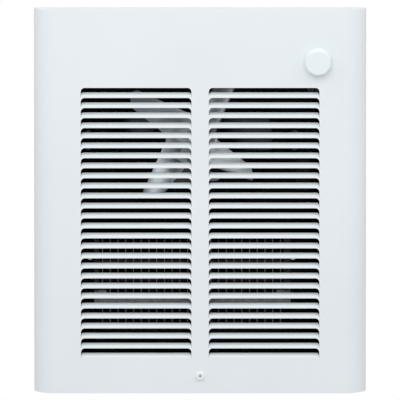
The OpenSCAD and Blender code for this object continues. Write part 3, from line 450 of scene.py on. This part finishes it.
FINISHES = {
    "cover_paint": (powder_coat, (0.797, 0.826, 0.846), dict(
        rough=0.5, gloss=0.25, inside=(0, 0.6, 0), mouth=(0.166, 0.191))),
    "knob_plastic": (moulded, (0.785, 0.84, 0.86), dict(rough=0.36, speck=0.015, grain=0.00001)),
    "screw_paint": (screw_paint, (0.84, 0.86, 0.87), dict(centre=(0, -0.0265, -0.1915), recess_r=0.0021)),
    # darker than paint can be: partly the deck's own black, partly painted shade
    "black_paint": (powder_coat, (0.0016, 0.0016, 0.0018), dict(rough=0.7, peel=0.00005, gloss=0.06)),
    "galvanised": (spangled_zinc, (0.60, 0.615, 0.63), {}),
    "box_zinc": (spangled_zinc, (0.60, 0.615, 0.63), dict(inside=(0, 0.049, 0))),
    # zinc dimmed far below its own grey: painted shade on the thermostat's bracket and terminals
    "dull_zinc": (spangled_zinc, (0.05, 0.051, 0.053), {}),
    # zinc dimmed below its own grey: painted shade on the deflector inside the housing
    "duct_zinc": (spangled_zinc, (0.17, 0.173, 0.176), {}),
    # zinc dimmed as painted shade, with deeper painted shade above the lip
    "tray_zinc": (zinc_shaded_above, (0.15, 0.153, 0.156), dict(dark=0.15, above=-0.1045, span=0.002)),
    # painted shade over the motor mount, bare zinc inside the fan's ring
    "strap_zinc": (strap_with_painted_shade, (0.034, 0.036, 0.044), dict(
        dark=0.05, ring_r=0.093, lit_from=0.0788, lit_span=0.026, z_share=0.73,
        lit_spot=(-0.064, MOUNT_Y, 0.080), lit_spot_r=0.020)),
    # painted shade and painted highlights on the wings and hub
    "fan_aluminium": (blade_with_painted_light, (0.70, 0.755, 0.82), dict(
        rough=0.30,
        shade_blots=[((-0.056, FAN_Y, 0.108), 0.052, 0.8), ((-0.062, FAN_Y, 0.124), 0.028, 0.85), (HUB, 0.034, 0.75),
               ((-0.022, FAN_Y, 0.042), 0.022, 0.6), ((-0.032, FAN_Y, 0.076), 0.016, 0.6)],
        shade_films=[dict(x=(0, 1), z=(-1, 1), share=(-0.376, -1.0), start=-0.0432, span=0.005, strength=1.0),
               dict(x=(0, 1), z=(0.07, 1), share=(1.0, -0.43), start=-0.0165, span=0.003, strength=1.0),
               dict(x=(-1, -0.01), z=(-1, 0.05), share=(-1.0, 0.217), start=0.0530, span=0.012, strength=0.85)],
        painted_highlights=[((0.034, 0.014, 0.041), 0.022), ((-0.042, 0.014, 0.030), 0.011),
                ((-0.045, 0.014, 0.018), 0.011), ((-0.048, 0.014, 0.006), 0.012)])),
    # aluminium dimmed to dark grey: painted shade on the fins inside the housing
    "fin_aluminium": (rolled_metal, (0.24, 0.242, 0.246), dict(rough=0.42, stretch=(1, 14, 1))),
    "green_screw": (rolled_metal, (0.04, 0.26, 0.10), dict(rough=0.34, stretch=(8, 8, 8))),
    "zinc_steel": (rolled_metal, (0.64, 0.65, 0.67), dict(rough=0.26, stretch=(6, 6, 6), tarnish=0.08)),
    "black_steel": (rolled_metal, (0.05, 0.05, 0.052), dict(rough=0.4, stretch=(5, 5, 5))),
    "copper": (rolled_metal, (0.72, 0.40, 0.25), dict(rough=0.3, stretch=(6, 6, 6), tarnish=0.12)),
    "cast_aluminium": (cast_metal, (0.52, 0.53, 0.545), dict(rough=0.5)),
    "rotor_steel": (turned_metal, (0.36, 0.36, 0.37), dict(rough=0.34, centre=(FAN_X, 0, FAN_Z))),
    "lamination_steel": (stacked_steel, (0.22, 0.23, 0.25), {}),
    # tape dimmed to near black: painted shade on the coil behind the fan
    "coil_tape": (wound_tape, (0.030, 0.029, 0.032), {}),
    "bobbin_nylon": (moulded, (0.06, 0.06, 0.065), dict(rough=0.5, speck=0.08, gloss=0.2)),
    "bronze": (sintered, (0.62, 0.44, 0.22), {}),
    "sheath_steel": (heat_darkened, (0.045, 0.038, 0.035), {}),
    "ceramic_beads": (bare_ceramic, (0.84, 0.82, 0.76), {}),
    "black_phenolic": (moulded, (0.008, 0.008, 0.009), dict(rough=0.6, speck=0.25, gloss=0.1)),
    "brown_phenolic": (moulded, (0.12, 0.055, 0.03), dict(rough=0.38, speck=0.22)),
}
MATS = {name: make(name, base, **more).mat for name, (make, base, more) in FINISHES.items()}

# Finishes that differ from the record's slot, and the nodes that have them. All of them hold painted shade:
# dark inner faces of the box, a shaded screw recess, and zinc and steel parts darkened inside the housing.
OWN_FINISH = {
    "box_zinc": ("wall_box_back", "wall_box_sides", "wall_box_ends"),
    "screw_paint": ("cover_screw",),
    "strap_zinc": ("motor_mount",),
    "duct_zinc": ("lower_deflector",),
    "tray_zinc": ("element_frame",),
    "dull_zinc": ("thermostat_bracket", "thermostat_terminals"),
    # painted shade: screws darkened inside the housing
    "black_steel": ("motor_mount_screws", "motor_tie_screws", "deck_screws"),
}
finish_of = {node: name for name, group in OWN_FINISH.items() for node in group}
for row in frame["record"]["subparts"]:
    obj = nodes[row["node"]]
    mat = MATS[finish_of.get(row["node"], row["material_slot"])]
    if not obj.material_slots:
        obj.data.materials.append(mat)
    for slot in obj.material_slots:
        slot.material = mat


# ---------------------------------------------------------------- lower ends of the fins
FIN_COUNT = 24
FIN_T = 0.0005
FOOT_DEEP = 0.026
FOOT_FRONT_Z, FOOT_BACK_Z = -0.1469, -0.1331    # just above the deflector's slope
FOOT_SINK = 0.0001                              # into the underside of the bank's frame
fins_low, fins_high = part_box("element_fins")
foot_top_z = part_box("element_frame")[0][2] + FOOT_SINK
foot_front_y, foot_back_y = fins_low[1], fins_low[1] + FOOT_DEEP
pitch = (fins_high[0] - fins_low[0] - FIN_T) / (FIN_COUNT - 1)
outline = [(foot_front_y, foot_top_z), (foot_front_y, FOOT_FRONT_Z),
           (foot_back_y, FOOT_BACK_Z), (foot_back_y, foot_top_z)]
verts, faces = [], []
for i in range(FIN_COUNT):
    x = fins_low[0] + i * pitch
    k = len(verts)
    verts += [(x, y, z) for y, z in outline] + [(x + FIN_T, y, z) for y, z in outline]
    faces += [(k, k + 3, k + 2, k + 1), (k + 4, k + 5, k + 6, k + 7)]
    faces += [(k + j, k + (j + 1) % 4, k + 4 + (j + 1) % 4, k + 4 + j) for j in range(4)]
feet_mesh = bpy.data.meshes.new("fin_feet")
feet_mesh.from_pydata(verts, [], faces)
feet_mesh.materials.append(MATS["fin_aluminium"])
fin_feet = bpy.data.objects.new("fin_feet", feet_mesh)
scene.collection.objects.link(fin_feet)
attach(fin_feet, "heater")


# ---------------------------------------------------------------- floor, world and lights
FLOOR_Z = -0.6
FLOOR_R = 1.7
SOFT_LIGHT = (0.97, 0.985, 1.0)
SOFT_STRENGTH = 0.52
WHITE = (1, 1, 1)
bpy.ops.mesh.primitive_circle_add(vertices=96, radius=FLOOR_R, fill_type="NGON", location=(0, 0, FLOOR_Z))
floor = bpy.context.object
floor.name = "floor"
pale = Mat("floor_paint")
pale.colour(tones(pale, pale.noise(3, 3), (0.78, 0.78, 0.78), 0.98, 1.01))
pale.roughness(pale.remap(pale.noise(20, 2), 0.7, 0.85))
floor.data.materials.append(pale.mat)

world = bpy.data.worlds.new("studio")
scene.world = world
world.use_nodes = True
tree = world.node_tree
tree.nodes.clear()


def world_node(kind, *values):
    """A node of the world, with its inputs fed in their order."""
    n = tree.nodes.new(kind)
    for value, socket in zip(values, n.inputs):
        feed(tree, value, socket)
    return n


def either(a, b):
    n = world_node("ShaderNodeMath", a, b)
    n.operation = "MAXIMUM"
    return n.outputs[0]


# White to the camera and in reflections, and a soft light to all else
path = world_node("ShaderNodeLightPath").outputs
seen = either(either(path["Is Camera Ray"], path["Is Glossy Ray"]), path["Is Transmission Ray"])
soft = world_node("ShaderNodeBackground", SOFT_LIGHT, SOFT_STRENGTH)
white = world_node("ShaderNodeBackground", WHITE, 1.0)
both = world_node("ShaderNodeMixShader", seen, soft.outputs[0], white.outputs[0])
world_node("ShaderNodeOutputWorld", both.outputs[0])


def softbox(name, place, aim, size, watts, colour=(1, 1, 1)):
    """A rectangular lamp at a place, aimed at a point."""
    data = bpy.data.lights.new(name, "AREA")
    data.shape = "RECTANGLE"
    data.size, data.size_y = size
    data.energy = watts
    data.color = colour
    lamp = bpy.data.objects.new(name, data)
    scene.collection.objects.link(lamp)
    lamp.location = place
    way = Vector(aim) - Vector(place)
    lamp.rotation_euler = way.to_track_quat("-Z", "Y").to_euler()


softbox("key", (0.0, -1.45, 1.5), (0, 0, 0.02), (2.2, 1.3), 20.8, (0.94, 1.0, 1.0))
softbox("fill", (0.0, -3.2, 0.1), (0, 0, 0), (2.4, 1.6), 7.5, (1.0, 1.0, 0.99))
for name, x in (("left", -1.3), ("right", 1.3)):
    softbox(name, (x, -0.4, 1.0), (0, 0, 0.02), (0.8, 1.0), 4.6)
softbox("back", (0.6, 2.8, 0.3), (0, 0, 0), (2.0, 1.4), 4)
